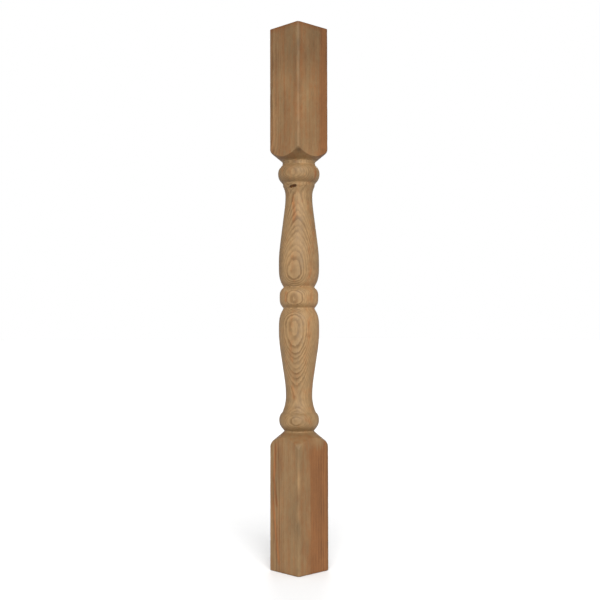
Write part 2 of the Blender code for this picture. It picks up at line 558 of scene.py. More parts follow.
@dataclass(frozen=True)
class GrowthRings:
    """The tree's rings as they lie in the stick, in millimetres and degrees."""

    pith_distance: float = 59.0
    heading: Course = Course(
        (224, 300, 362, 440, 465, 490, 515, 560, 593, 640),
        (37.5, 34.8, 32.3, 30.5, 33.7, 38.2, 42.5, 38, 27.5, 38),
    )
    lean: Course = Course(
        (120, 182, 224, 270, 300, 335, 362, 384, 447, 465, 490, 515, 535, 620),
        (-6.2, -5.9, -4.9, -3.1, -1.7, -0.4, 0.3, 0.4, -2.2, -3.4, -4.8, -5.9, -6.5, -7.4),
    )
    crest: Course = Course((400, 410, 482, 500, 560), (0.24, 0, 0, 0.55, 0.55), 3.0)
    crest_width: float = 4.0
    crest_round: float = 0.7
    wander: Cloud = Cloud(0.30, (26, 26, 75), 2, 3.1)
    ripple: Cloud = Cloud(0.14, (5, 5, 22), 1, 8.4)
    known_start: float = 75.3
    known_widths: tuple[float, ...] = (1.9, 1.7, 1.4, 1.4, 1.7, 1.2, 1.3, 1.8, 1.6)
    inner_widths: Pair = (1.3, 2.3)
    outer_widths: Pair = (1.2, 2.0)
    inner_years: int = 48
    outer_years: int = 16
    seed: int = 11

    def year_lines(self) -> np.ndarray:
        """Set out the years.

        Returns:
            How far from the pith each year's growth ends, from the oldest year to the last.
        """
        dice = np.random.default_rng(self.seed)
        inner = dice.uniform(*self.inner_widths, self.inner_years)
        outer = dice.uniform(*self.outer_widths, self.outer_years)
        outward = self.known_start + np.cumsum(np.r_[self.known_widths, outer])
        inward = self.known_start - np.cumsum(inner)
        return np.r_[inward[::-1], self.known_start, outward]

    def years(self, points: np.ndarray, knot: Knot) -> np.ndarray:
        """Count the years from the pith out to each point.

        Args:
            points: places in millimetres, one row each.
            knot: the knot that the rings flow round.

        Returns:
            The count, with the part of the year as its fraction.
        """
        height = points[:, 2]
        turn = np.radians(self.heading.at(height))
        across = points[:, 0] + self.pith_distance * np.sin(turn)
        away = points[:, 1] - self.pith_distance * np.cos(turn)
        aside = points[:, 0] * np.cos(turn) + points[:, 1] * np.sin(turn)
        from_crest = np.hypot(aside, self.crest_round) - self.crest_round
        crest = self.crest.at(height) * np.exp(-from_crest / self.crest_width)
        drift = self.wander.at(points) + self.ripple.at(points)
        distance = np.hypot(across, away) + self.lean.at(height) + crest + drift - knot.pull(points)
        lines = self.year_lines()
        return np.interp(distance, lines, np.arange(len(lines), dtype=float))


@dataclass(frozen=True)
class Streak:
    """A band that runs up the stick, in millimetres: redder or lighter where it is above 0. Most are other
    wood; some of the shades are painted shade or painted highlights.

    The place is in the plan, and the slant is how far it moves along X for each millimetre up.
    """

    place: Pair
    width: float
    low: float
    high: float
    strength: float
    slant: float = 0.0
    fade: float = 12.0
    wobble: float = 1.2
    wobble_length: float = 17.0

    def amount(self, points: np.ndarray) -> np.ndarray:
        """Say how strongly each point takes the streak.

        Args:
            points: places in millimetres, one row each.

        Returns:
            The strength at each point.
        """
        height = points[:, 2]
        middle = (self.low + self.high) / 2.0
        bend = self.wobble * np.sin(height / self.wobble_length + self.place[0])
        bend = bend + self.slant * (height - middle)
        off = np.hypot(points[:, 0] - self.place[0] - bend, points[:, 1] - self.place[1])
        ends = smooth_step(height, self.low - self.fade, self.low + self.fade)
        ends = ends * smooth_step(height, self.high + self.fade, self.high - self.fade)
        return self.strength * bell(off, self.width) * ends


@dataclass(frozen=True)
class Colouring:
    """How the wood's colour drifts from place to place, in millimetres, with painted shade and painted
    highlights among the shades.
    """

    stains: tuple[Streak, ...] = (
        Streak((FLAT, 25), 6, 618, 830, 2.3),
        Streak((FLAT, 17.5), 3.5, 618, 830, 0.6),
        Streak((FLAT, 23), 3.4, -20, 190, 1.9),
        Streak((FLAT, 12), 12, -20, 180, 1.5),
        Streak((FLAT, -4), 8, -20, 180, 0.45),
        Streak((FLAT, 20.8), 2, -20, 182, 0.8, wobble=0.5),
        Streak((-17.3, -FLAT), 2.2, 14, 106, 1, -0.152, fade=8, wobble=0.3),
        Streak((-19.2, -FLAT), 2.4, 140, 186, 1.6, 0.075, fade=8, wobble=0.3),
        Streak((-18.5, -FLAT), 1.8, 97, 139, 1.6, -0.18, fade=5, wobble=0.2),
        Streak((-24, -FLAT), 4, -20, 182, -0.1, -0.016),
        Streak((9, -FLAT), 15, 715, 830, -0.1),
        Streak((4, -FLAT), 13, 20, 150, -0.1),
        Streak((9.3, -19), 3.4, 505, 557, 0.75, -0.03),
        Streak((2.6, -22.8), 3, 508, 522, 0.7),
        Streak((27, 8), 8, 380, 560, 0.4),
        Streak((27, 8), 8, 230, 370, 0.4),
        Streak((14, -16), 4, 215, 300, 0.45),
        Streak((4, -12), 60, 578, 612, 0.08, fade=5),
        Streak((FLAT, -6), 16, 625, 830, 0.15),
        Streak((30.7, 5.6), 3, 580, 597, 1.2, fade=5, wobble=0.4),
        Streak((6.6, -18.8), 4.2, 255, 276, 0.6),
        Streak((18.3, -7.9), 4, 255, 275, 0.6),
        Streak((1.4, -29), 4, 398, 416, 0.9, fade=4),
    )
    shades: tuple[Streak, ...] = (
        # Painted shade down the left side of the turning.
        Streak((-25, -19), 17, 430, 613, -0.17),
        Streak((-25, -19), 17, 206, 430, -0.06),
        # Painted shade along the near eased edge of each square, where the key lamp lights it most, and
        # painted highlights in broken stretches along it on the lower square.
        Streak((30, -30), 4, 610, 840, -0.13),
        Streak((30, -30), 4, -20, 200, -0.10),
        Streak((30, -30), 3, 124, 158, 0.15, wobble=0),
        Streak((30, -30), 3, 79, 95, 0.13, fade=6, wobble=0),
        Streak((30, -30), 3, 22, 54, 0.13, fade=8, wobble=0),
        Streak((30, -30), 2.5, 0, 5, 0.25, fade=2, wobble=0),
        Streak((FLAT, 29), 2.5, 37, 43, -0.25, fade=2.5, wobble=0),
        Streak((-17.3, -FLAT), 2.2, 14, 106, 0.24, -0.152, fade=8, wobble=0.3),
        Streak((-21.5, -FLAT), 1.6, 14, 120, -0.16, -0.130, fade=8, wobble=0.3),
        Streak((-19.2, -FLAT), 2.2, 140, 186, 0.20, 0.075, fade=8, wobble=0.3),
        Streak((-18.5, -FLAT), 1.2, 97, 139, -0.16, -0.18, fade=5, wobble=0.2),
        # A painted highlight on the front of the upper neck.
        Streak((16, -13.5), 7, 530, 559, 0.10),
        Streak((4, -12), 60, 574, 612, -0.15, fade=5),
        Streak((4, -12), 60, 430, 574, -0.055, fade=8),
        Streak((4, -12), 60, 236, 330, -0.055),
        Streak((4, -12), 60, 200, 236, -0.11, fade=6),
        # The right faces darker: partly darker heartwood, partly painted shade that evens out the key lamp
        # lighting them more than the left faces.
        Streak((FLAT, 5), 26, 625, 830, -0.085),
        Streak((FLAT, 6), 28, -20, 190, -0.10),
        # Painted shade down the right side of the turning.
        Streak((24, 8), 9, 505, 577, -0.15),
        Streak((24, 8), 9, 236, 340, -0.10),
        Streak((21, -2), 3.6, 528, 564, -0.13),
        Streak((20, -9), 9, 565, 573, -0.13, fade=3),
        Streak((3, -20.5), 18, 560, 572, -0.07, fade=4),
        Streak((13.2, -28), 3.6, 594, 598, 0.14, fade=2),
        Streak((19, -25), 2.4, 590, 596, -0.12, fade=2),
        Streak((5.9, -20.4), 3, 565.5, 567, 0.10, fade=2),
        Streak((6.6, -19.7), 4.2, 562.3, 563.3, -0.13, fade=1.5),
        Streak((-24, -FLAT), 7, -20, 190, 0.085),
        # Painted shade along the back right eased edge (+X, +Y) of the lower square.
        Streak((31, 31), 4, -20, 190, -0.12),
        Streak((FLAT, 28), 4.5, -20, 190, -0.07),
        Streak((FLAT, 12.5), 2.2, -20, 182, -0.06, wobble=0.5),
        Streak((FLAT, 20.8), 2, -20, 182, 0.05, wobble=0.5),
        Streak((FLAT, 28), 4.5, 612, 840, -0.03),
        Streak((30, -30), 2.5, 150, 186, -0.06),
        # Painted shade under the upper shoulder, on its downward cone.
        Streak((-24, -25), 11, 611, 630, -0.20, fade=3, wobble=0),
        Streak((25, 24), 11, 611, 630, -0.20, fade=3, wobble=0),
        Streak((29.2, -26.5), 5, 619, 626, -0.18, fade=3, wobble=0),
        # Painted shade along the back right eased edge (+X, +Y) of the upper square.
        Streak((31, 31), 4, 610, 840, -0.12),
        Streak((9, -FLAT), 15, 735, 830, -0.08),
        Streak((FLAT, -23.7), 2.2, 184, 194, 0.16, fade=4),
    )
    lines: tuple[Streak, ...] = (
        Streak((-21, -FLAT), 10, -20, 190, 0.9),
        Streak((FLAT, 12), 15, -20, 190, 0.5),
        Streak((-23, -FLAT), 9, 620, 830, 0.5),
        Streak((FLAT, -14), 7, 725, 775, 0.8),
        Streak((17, -24), 30, 584, 600, -0.35, fade=6),
        Streak((10, -25), 15, 206, 613, 0.34),
        Streak((16, -17), 9, 562, 582, -0.6, fade=5),
        Streak((8, -27), 20, 396, 418, -0.2, fade=5),
    )
    planed_tone: float = 0.80
    planed_contrast: float = 0.40
    turned_contrast: float = 0.84
    planed_warmth: float = 0.49
    edge_paleness: float = 0.10
    warm_cloud: Cloud = Cloud(0.60, (16, 16, 110), 3, 5.7)
    warm_calm: float = 0.4
    warm_mottling: Cloud = Cloud(0.46, (6, 6, 9), 2, 12.6)
    mottling_calm: float = 0.5
    patches: Cloud = Cloud(0.8, (14, 14, 40), 2, 7.9)
    tone_cloud: Cloud = Cloud(0.13, (5, 5, 6), 2, 14.2)
    tone_calm: float = 0.6
    tone_drift: Cloud = Cloud(0.16, (24, 24, 70), 2, 9.3)
    edge_wear: Cloud = Cloud(0.20, (6, 6, 24), 2, 4.4)
    # Painted shade on the eased long edges of the squares, where the lamps light them most.
    edge_painted_shade: float = -0.05
    edge_span: Pair = (26.8, 29.2)
    top_tone: float = 0.82
    top_reach: float = 42.0
    top_warmth: float = 0.6
    rim: Pair = (9.0, 1.0)
    length: float = 813.0
    squares: Pair = (206.0, 613.0)
    run_out: float = 2.0

    def planed(self, height: np.ndarray) -> np.ndarray:
        """Give 1 on the squares and 0 on the turning between them."""
        low, high = self.squares
        lower = smooth_step(height, low + self.run_out, low - self.run_out)
        return lower + smooth_step(height, high - self.run_out, high + self.run_out)

    def edge(self, points: np.ndarray) -> np.ndarray:
        """Give 1 on the eased long edges of the square and 0 on its flats."""
        nearest = np.minimum(np.abs(points[:, 0]), np.abs(points[:, 1]))
        return smooth_step(nearest, *self.edge_span)

    def warmth(self, points: np.ndarray) -> np.ndarray:
        """Work out the warmth of the wood's colour.

        Args:
            points: places in millimetres, one row each.

        Returns:
            How red each point is above 0, and how grey below 0.
        """
        planed = self.planed(points[:, 2])
        found = self.warm_cloud.at(points) * (1.0 - self.warm_calm * planed)
        for streak in self.stains:
            found = found + streak.amount(points)
        start, full = (self.length - depth for depth in self.rim)
        top = smooth_step(points[:, 2], start, full)
        found = found + self.warm_mottling.at(points) * (1.0 - self.mottling_calm * planed)
        square = planed * (self.planed_warmth - self.edge_paleness * self.edge(points))
        return found + self.top_warmth * top + square

    def contrast(self, points: np.ndarray) -> np.ndarray:
        """Work out how plainly the rings and the fine lines show.

        Args:
            points: places in millimetres, one row each.

        Returns:
            The contrast at each point.
        """
        planed = self.planed(points[:, 2])
        found = self.turned_contrast + (self.planed_contrast - self.turned_contrast) * planed
        for streak in self.lines:
            found = found + streak.amount(points)
        return found * (1.0 + self.patches.at(points))

    def tone(self, points: np.ndarray) -> np.ndarray:
        """Work out how light the wood is, painted shade and painted highlights included.

        Args:
            points: places in millimetres, one row each.

        Returns:
            The lightness of each point, where 1 is the freshly turned wood.
        """
        planed = self.planed(points[:, 2])
        found = 1.0 - (1.0 - self.planed_tone) * planed
        top = smooth_step(self.length - points[:, 2], 2.0 * self.top_reach, self.top_reach)
        found = found * (1.0 - (1.0 - self.top_tone) * top)
        found = found * (1.0 + self.tone_cloud.at(points) * (1.0 - self.tone_calm * planed))
        for streak in self.shades:
            found = found + streak.amount(points)
        # Painted shade on the eased edges of the squares, with random wear noise on top.
        edge_shade_and_wear = self.edge_painted_shade + self.edge_wear.at(points)
        found = found * (1.0 + self.edge(points) * planed * edge_shade_and_wear)
        return found * (1.0 + self.tone_drift.at(points))


Operand = "Flow | float"


class Flow:
    """One shader value on its way through the nodes, used in plain arithmetic."""

    def __init__(self, bench: "Bench", socket: bpy.types.NodeSocket) -> None:
        """Keep the bench that adds nodes and the socket that carries the value."""
        self.bench = bench
        self.socket = socket

    def __add__(self, other: Operand) -> "Flow":
        """Add another value."""
        return self.bench.maths("ADD", self, other)

    def __radd__(self, other: Operand) -> "Flow":
        """Add this value to another."""
        return self.bench.maths("ADD", other, self)

    def __sub__(self, other: Operand) -> "Flow":
        """Take another value away."""
        return self.bench.maths("SUBTRACT", self, other)

    def __rsub__(self, other: Operand) -> "Flow":
        """Take this value away from another."""
        return self.bench.maths("SUBTRACT", other, self)

    def __mul__(self, other: Operand) -> "Flow":
        """Multiply by another value."""
        return self.bench.maths("MULTIPLY", self, other)

    def __rmul__(self, other: Operand) -> "Flow":
        """Multiply another value by this one."""
        return self.bench.maths("MULTIPLY", other, self)


@dataclass(frozen=True)
class Grain:
    """One noise of the shader: how many lumps it has in a millimetre, and how fine and rough it is."""

    lumps: Triple
    detail: float = 3.0
    roughness: float = 0.6


class Bench:
    """The nodes of one material or world, added as they are asked for."""

    def __init__(self, owner: bpy.types.Material | bpy.types.World) -> None:
        """Clear the owner's nodes and start on an empty bench."""
        owner.use_nodes = True
        self.tree = owner.node_tree
        self.tree.nodes.clear()

    def node(
        self,
        kind: str,
        settings: Mapping[str, Any] | None = None,
        sockets: Mapping[str | int, Any] | None = None,
    ) -> bpy.types.Node:
        """Add one node.

        Args:
            kind: the node's type.
            settings: its own settings, set before its sockets.
            sockets: a value or a link for each socket that needs one.

        Returns:
            The new node.
        """
        made = self.tree.nodes.new(kind)
        for name, value in (settings or {}).items():
            setattr(made, name, value)
        for name, value in (sockets or {}).items():
            if isinstance(value, Flow):
                self.tree.links.new(value.socket, made.inputs[name])
            else:
                made.inputs[name].default_value = value
        return made

    def flow(self, node: bpy.types.Node, output: str | int = 0) -> Flow:
        """Take one output of a node as a value."""
        return Flow(self, node.outputs[output])

    def maths(self, operation: str, first: Operand, second: Operand = 0.0) -> Flow:
        """Work out one step of arithmetic."""
        return self.flow(self.node("ShaderNodeMath", {"operation": operation}, {0: first, 1: second}))

    def stretched(self, place: Flow, scale: Sequence[float]) -> Flow:
        """Scale a place along X, Y and Z."""
        made = self.node("ShaderNodeVectorMath", {"operation": "MULTIPLY"}, {0: place, 1: tuple(scale)})
        return self.flow(made)

    def dimmed(self, colour: Flow, amount: Flow) -> Flow:
        """Make a colour lighter or darker by an amount."""
        made = self.node("ShaderNodeVectorMath", {"operation": "SCALE"}, {0: colour, "Scale": amount})
        return self.flow(made)

    def lumps(self, place: Flow, grain: Grain) -> Flow:
        """Sample noise at a place.

        Args:
            place: where, in millimetres.
            grain: the size and the kind of the lumps.

        Returns:
            The noise, centred on 0 and mostly between -0.5 and 0.5.
        """
        sockets = {
            "Vector": self.stretched(place, grain.lumps),
            "Scale": 1.0,
            "Detail": grain.detail,
            "Roughness": grain.roughness,
        }
        return self.flow(self.node("ShaderNodeTexNoise", {"noise_dimensions": "3D"}, sockets)) - 0.5

    def rise(self, value: Flow, low: float, high: float) -> Flow:
        """Rise softly from 0 at low to 1 at high."""
        settings = {"interpolation_type": "SMOOTHSTEP"}
        sockets = {"Value": value, "From Min": low, "From Max": high}
        return self.flow(self.node("ShaderNodeMapRange", settings, sockets))

    def blend(self, share: Flow | float, first: Any, second: Any, way: str = "MIX") -> Flow:
        """Mix two colours by a share."""
        settings = {"data_type": "RGBA", "blend_type": way, "clamp_factor": True}
        sockets = {MIX_FACTOR: share, MIX_FIRST: first, MIX_SECOND: second}
        return self.flow(self.node("ShaderNodeMix", settings, sockets), MIX_RESULT)

    def stored(self, name: str) -> Flow:
        """Read a number that the mesh carries at its points."""
        return self.flow(self.node("ShaderNodeAttribute", {"attribute_name": name}), "Fac")

    def place(self) -> Flow:
        """Read the place on the object, in metres."""
        return self.flow(self.node("ShaderNodeTexCoord"), "Object")

    def dress(self, sockets: Mapping[str, Any]) -> None:
        """Lead one surface with these sockets to the material's output."""
        surface = self.node("ShaderNodeBsdfPrincipled", {}, sockets)
        self.node("ShaderNodeOutputMaterial", {}, {"Surface": self.flow(surface)})


def tint(red: float, green: float, blue: float) -> Colour:
    """Give a linear colour as a socket takes it."""
    return (red, green, blue, 1.0)


@dataclass(frozen=True)
class SealedSoftwood:
    """Brown ringed softwood under one thin coat of clear sealer."""

    name: str = "sealed_softwood"
    early: Colour = tint(0.250, 0.153, 0.069)
    late: Colour = tint(0.156, 0.087, 0.035)
    red_stain: Colour = tint(0.98, 0.66, 0.48)
    grey_stain: Colour = tint(0.93, 0.98, 1.12)
    knot_colour: Colour = tint(0.030, 0.008, 0.0)
    knot_light: Colour = tint(0.088, 0.030, 0.0)
    # The darkening for end grain, also used for the painted shade under the beads and the upper shoulder.
    end_colour: Colour = tint(0.78, 0.72, 0.61)
    late_from: float = 0.30
    late_to: float = 0.82
    late_end: float = 0.95
    fibre: Grain = Grain((1.9, 1.9, 0.05))
    streak: Grain = Grain((0.42, 0.42, 0.012), roughness=0.55)
    mottle: Grain = Grain((0.30, 0.30, 0.085))
    speckle: Grain = Grain((0.60, 0.60, 0.16), 2.0)
    wobble: Grain = Grain((0.5, 0.5, 0.07), 2.0, 0.55)
    jag: Grain = Grain((0.22, 0.22, 0.18), 2.0, 0.55)
    tick: Grain = Grain((1.3, 1.3, 0.09), 1.0, 0.55)
    ring_wobble: float = 0.34
    evenness: float = 0.50
    late_by_streak: float = 0.8
    late_by_mottle: float = 0.9
    warm_by_streak: float = 0.75
    warm_by_mottle: float = 0.65
    warm_by_year: float = 0.25
    red_span: Pair = (0.0, 1.3)
    grey_span: Pair = (0.05, 1.0)
    tick_span: Pair = (0.16, 0.30)
    fibre_contrast: float = 0.36
    streak_contrast: float = 0.24
    streak_least: float = 0.3
    mottle_contrast: float = 0.22
    speckle_contrast: float = 0.26
    tick_depth: float = 0.16
    knot_by_speckle: float = 0.5
    knot_by_fibre: float = 0.25
    knot_span: Pair = (0.88, 1.06)
    halo_span: Pair = (1.0, 1.5)
    halo_depth: float = 0.30
    heart_span: Pair = (-0.1, 0.3)
    late_height: float = 0.5
    fibre_height: float = 0.9
    tick_height: float = 0.8
    bump_strength: float = 0.6
    bump_height: float = 0.00012
    roughness: float = 0.60
    fibre_roughness: float = 0.12
    late_polish: float = 0.07
    knot_roughness: float = 0.2
    gloss: float = 0.22

    def make(self) -> bpy.types.Material:
        """Build the wood's nodes.

        Returns:
            The finished material.
        """
        material = bpy.data.materials.new(self.name)
        bench = Bench(material)
        place = bench.stretched(bench.place(), (1.0 / MILLIMETRE,) * 3)
        grains = (self.fibre, self.streak, self.mottle, self.speckle, self.wobble, self.jag, self.tick)
        fibre, streak, mottle, speckle, wobble, jag, tick = (bench.lumps(place, grain) for grain in grains)
        contrast = bench.stored("contrast")
        count = bench.stored("years") + wobble * self.ring_wobble + jag * bench.stored("raggedness")
        year = bench.maths("FLOOR", count)
        part = bench.maths("FRACT", count)
        dice = bench.node("ShaderNodeTexWhiteNoise", {"noise_dimensions": "1D"}, {"W": year})
        year_tone = bench.flow(dice, "Value")
        late = bench.rise(part, self.late_from, self.late_to) * (1.0 - bench.rise(part, self.late_end, 1.0))
        late = late * (self.evenness + year_tone * (1.0 - self.evenness))
        late = late * (contrast + streak * self.late_by_streak + mottle * self.late_by_mottle)
        colour = bench.blend(late, self.early, self.late)
        warmth = bench.stored("warmth") + streak * self.warm_by_streak + mottle * self.warm_by_mottle
        warmth = warmth + (year_tone - 0.5) * self.warm_by_year
        colour = bench.blend(bench.rise(warmth, *self.red_span), colour, self.red_stain, "MULTIPLY")
        colour = bench.blend(bench.rise(warmth * -1.0, *self.grey_span), colour, self.grey_stain, "MULTIPLY")
        tick = bench.rise(tick, *self.tick_span)
        lines = fibre * self.fibre_contrast + streak * (contrast + self.streak_least) * self.streak_contrast
        patches = mottle * self.mottle_contrast + speckle * self.speckle_contrast
        light = bench.stored("tone") * (1.0 + lines + patches) * (1.0 - tick * self.tick_depth)
        colour = bench.dimmed(colour, light)
        # Darken by the end grain and by the painted shade under the beads and the upper shoulder.
        colour = bench.blend(bench.stored("end_grain_and_underside_shade"), colour, self.end_colour, "MULTIPLY")
        from_knot = bench.stored("from_knot") + speckle * self.knot_by_speckle + fibre * self.knot_by_fibre
        knot = 1.0 - bench.rise(from_knot, *self.knot_span)
        halo = 1.0 - bench.rise(from_knot, *self.halo_span)
        colour = bench.dimmed(colour, 1.0 - halo * self.halo_depth)
        heart = bench.blend(bench.rise(mottle + fibre, *self.heart_span), self.knot_colour, self.knot_light)
        height = late * self.late_height + fibre * self.fibre_height - tick * self.tick_height
        raised = {"Strength": self.bump_strength, "Distance": self.bump_height, "Height": height}
        rough = self.roughness + fibre * self.fibre_roughness - late * self.late_polish
        bench.dress(
            {
                "Base Color": bench.blend(knot, colour, heart),
                "Roughness": rough + knot * self.knot_roughness,
                "Specular IOR Level": self.gloss,
                "Normal": bench.flow(bench.node("ShaderNodeBump", {}, raised)),
            }
        )
        return material


@dataclass
class TurnedSpindle:
    """The whole spindle: two squares, the turning between them and its sawn ends."""

    name: str = "turned_spindle"
    blank: SquareBlank = field(default_factory=SquareBlank)
    profile: TurnedProfile = field(default_factory=TurnedProfile)
    rings: GrowthRings = field(default_factory=GrowthRings)
    knot: Knot = field(default_factory=Knot)
    colouring: Colouring = field(default_factory=Colouring)
    finish: SealedSoftwood = field(default_factory=SealedSoftwood)
    end_rings: int = 13
    block_step: float = 0.004
    rim_steps: int = 4
    flat_steps: int = 12
    cone_steps: int = 18
    crowding: float = 1.35
    crease_ease: float = 0.00045
    crease_drop: float = 0.32
    crease_lift: float = 0.1
    cone_start: float = 0.022
    sanding: Cloud = Cloud(0.00006, (9, 9, 16), 2, 1.7)
    lathe_pitch: float = 3.3
    lathe_depth: float = 0.000012
    ring_height: float = 0.000022
    ring_phase: float = 0.35
    dents: Cloud = Cloud(1, (6, 6, 11), 2, 6.2)
    dent_span: Pair = (0.22, 0.5)
    dent_blur: int = 5
    dent: float = 0.00014
    saw_way: Pair = (0.94, 0.34)
    saw_pitch: float = 4.3
    saw_depth: float = 0.00003
    sharp_angle: float = 33.0
    upward_span: Pair = (0.6, 1.05)
    # Where downward faces darken: their end grain, with painted shade under the beads and the upper
    # shoulder.
    underside_shade_span: Pair = (0.25, 0.85)
    rim_span: Pair = (1.5, 0.5)
    # The painted highlight at each crease bottom: how much of the darkening it lifts, and how much lighter
    # it paints the tone.
    groove_shade_lift: float = 0.8
    groove_painted_highlight: float = 0.13
    turned_raggedness: float = 0.52
    planed_calm: float = 0.85
    sawn_contrast: float = 2.6
    sawn_tone: float = 1.2
    map_scale: float = 0.535
    map_margin: float = 0.012
    map_middle: float = 0.5
    map_split: float = 0.3906

    def shoulders(self) -> tuple[SquareShoulder, SquareShoulder]:
        """Give the lower and the upper shoulder."""
        profile = self.profile
        feet = (profile.radius(profile.lower_quirk_depth), profile.radius(profile.upper_fillet.depth))
        full = self.blank.turning_radius
        lower = SquareShoulder(feet[0], full, profile.lower_rounding, profile.pitch)
        return lower, SquareShoulder(feet[1], full, profile.upper_rounding, profile.pitch)

    def creases(self) -> list[Crease]:
        """List the sharp corners of the turning at their heights on this spindle."""
        lower, _ = self.shoulders()
        return self.profile.creases(self.profile.lower_square + lower.length)

    def shoulder_rows(self, shoulder: SquareShoulder, square_end: float, way: float) -> Rows:
        """Lay the rows of a shoulder, from the plain square to the turning's foot.

        Args:
            shoulder: the shoulder's sizes.
            square_end: the height where the square ends.
            way: 1 where the turning is above the square, and -1 where it is below.

        Returns:
            Each row with how it was worked, beginning at the square.
        """
        outline, _ = self.blank.outline()
        reach = np.hypot(outline[:, 0], outline[:, 1])
        aim = outline / reach[:, None]
        crease = shoulder.distance_from_square(reach)
        start = self.block_step
        last = crease - self.crease_ease
        rows = []
        for number in range(1, self.flat_steps + 1):
            share = 1.0 - (1.0 - number / self.flat_steps) ** self.crowding
            rows.append((reach, (last + start) * share - start, Surface.PLANED))
        eased = reach - self.crease_ease * self.crease_drop
        rows.append((eased, crease + self.crease_ease * self.crease_lift, Surface.TURNED))
        for number in range(self.cone_steps + 1):
            share = 1.0 - (1.0 - number / self.cone_steps) ** self.crowding
            share = self.cone_start + (1.0 - self.cone_start) * share
            radius = reach + (shoulder.foot_radius - reach) * share
            rows.append((radius, shoulder.distance_from_square(radius), Surface.TURNED))
        return [
            (level(aim * radius[:, None], square_end + way * height), surface)
            for radius, height, surface in rows
        ]

    def end_rows(self, way: float) -> Rows:
        """Lay the rows of one end, from just off its middle over its eased rim to the sides.

        Args:
            way: 1 at the upper end and -1 at the lower.

        Returns:
            Each row with how it was worked, beginning on the sawn face.
        """
        outline, out = self.blank.outline()
        end = self.blank.length if way > 0 else 0.0
        ease = self.blank.end_ease
        rim = []
        for number in range(self.rim_steps + 1):
            turn = number / self.rim_steps * FULL_TURN / 4.0
            plan = outline - out * ease * (1.0 - math.sin(turn))
            rim.append((level(plan, end - way * ease * (1.0 - math.cos(turn))), Surface.PLANED))
        edge = rim[0][0]
        sawn = []
        for number in range(1, self.end_rings + 1):
            share = number / (self.end_rings + 1)
            sawn.append((edge * np.array([share, share, 1.0]), Surface.SAWN))
        return sawn + rim

    def plain_rows(self, low: float, high: float) -> Rows:
        """Lay the rows of a plain stretch of the square, both ends with it."""
        outline, _ = self.blank.outline()
        heights = np.linspace(low, high, round((high - low) / self.block_step) + 1)
        return [(level(outline, height), Surface.PLANED) for height in heights]

    def skin(self) -> Rows:
        """Lay all rows of the skin.

        Returns:
            Each row with how it was worked, from the middle of the lower end to that of the upper one.
        """
        blank, profile = self.blank, self.profile
        outline, _ = blank.outline()
        aim = outline / np.hypot(outline[:, 0], outline[:, 1])[:, None]
        lower, upper = self.shoulders()
        square_end = profile.lower_square
        line = profile.stations(square_end + lower.length)
        square_start = line[-1].height + upper.length
        laid = self.end_rows(-1.0)
        laid += self.plain_rows(blank.end_ease, square_end - self.block_step)[1:]
        laid += self.shoulder_rows(lower, square_end, 1.0)
        for station in profile.closer(line, self.creases())[1:]:
            laid.append((level(aim * station.radius, station.height), Surface.TURNED))
        laid += self.shoulder_rows(upper, square_start, -1.0)[:-1][::-1]
        laid += self.plain_rows(square_start + self.block_step, blank.length - blank.end_ease)[:-1]
        return laid + self.end_rows(1.0)[::-1]

    def normals(self, points: np.ndarray) -> np.ndarray:
        """Find the way out of the wood.

        Args:
            points: the skin in metres, rows by columns by three.

        Returns:
            A way of length 1 for each point.
        """
        around = np.roll(points, -1, axis=1) - np.roll(points, 1, axis=1)
        along = np.gradient(points, axis=0)
        out = np.cross(around, along)
        return out / np.maximum(np.linalg.norm(out, axis=2, keepdims=True), TINY)

    def relief(self, points: np.ndarray, surfaces: Sequence[Surface], years: np.ndarray) -> np.ndarray:
        """Work out how far each point stands proud of the plain shape, in metres.

        Args:
            points: the plain skin in millimetres, rows by columns by three.
            surfaces: how each row was worked.
            years: how many years from the pith each point grew.

        Returns:
            The height of the relief at each point.
        """
        shape = points.shape[:2]
        flat = points.reshape(-1, 3)
        turned, sawn = (
            np.array([surface is kind for surface in surfaces], float)[:, None]
            for kind in (Surface.TURNED, Surface.SAWN)
        )
        height = self.sanding.at(flat).reshape(shape) * (1.0 - sawn)
        height = height + np.sin(points[:, :, 2] * FULL_TURN / self.lathe_pitch) * turned * self.lathe_depth
        height = height - self.ring_height * np.cos((years - self.ring_phase) * FULL_TURN) * (1.0 - sawn)
        outline, _ = self.blank.outline()
        half = self.blank.side / 2.0 - self.blank.edge_ease
        on_edge = (np.abs(outline[:, 0]) > half) & (np.abs(outline[:, 1]) > half)
        blur = np.ones(self.dent_blur) / self.dent_blur
        edge = np.convolve(np.r_[on_edge, on_edge, on_edge].astype(float), blur, "same")
        edge = edge[len(outline) : 2 * len(outline)][None, :]
        knocks = smooth_step(self.dents.at(flat).reshape(shape), *self.dent_span)
        height = height - self.dent * knocks * edge * (1.0 - turned) * (1.0 - sawn)
        profile = self.profile
        line = bell(points[:, :, 2] * MILLIMETRE - profile.scored_line, profile.scored_width)
        height = height - profile.scored_depth * line * turned
        across = points[:, :, 0] * self.saw_way[0] + points[:, :, 1] * self.saw_way[1]
        height = height + sawn * self.saw_depth * np.sin(across * FULL_TURN / self.saw_pitch)
        return height + self.knot.relief(self.knot.spread(flat).reshape(shape)) * MILLIMETRE

    def rings_of_corners(self, rows: int, columns: int) -> list[list[tuple[int, int]]]:
        """List the corners of every face as rows and columns of the skin.

        Args:
            rows: how many rows the skin has.
            columns: how many points each row has. The column after the last one is the first again.

        Returns:
            The faces, bottom up, where row -1 and the row after the last are the middles of the ends.
        """
        found = [[(-1, 0), (0, column + 1), (0, column)] for column in range(columns)]
        for row in range(rows - 1):
            for column in range(columns):
                found.append([(row, column), (row, column + 1), (row + 1, column + 1), (row + 1, column)])
        last = rows - 1
        found += [[(last, column), (last, column + 1), (rows, 0)] for column in range(columns)]
        return found

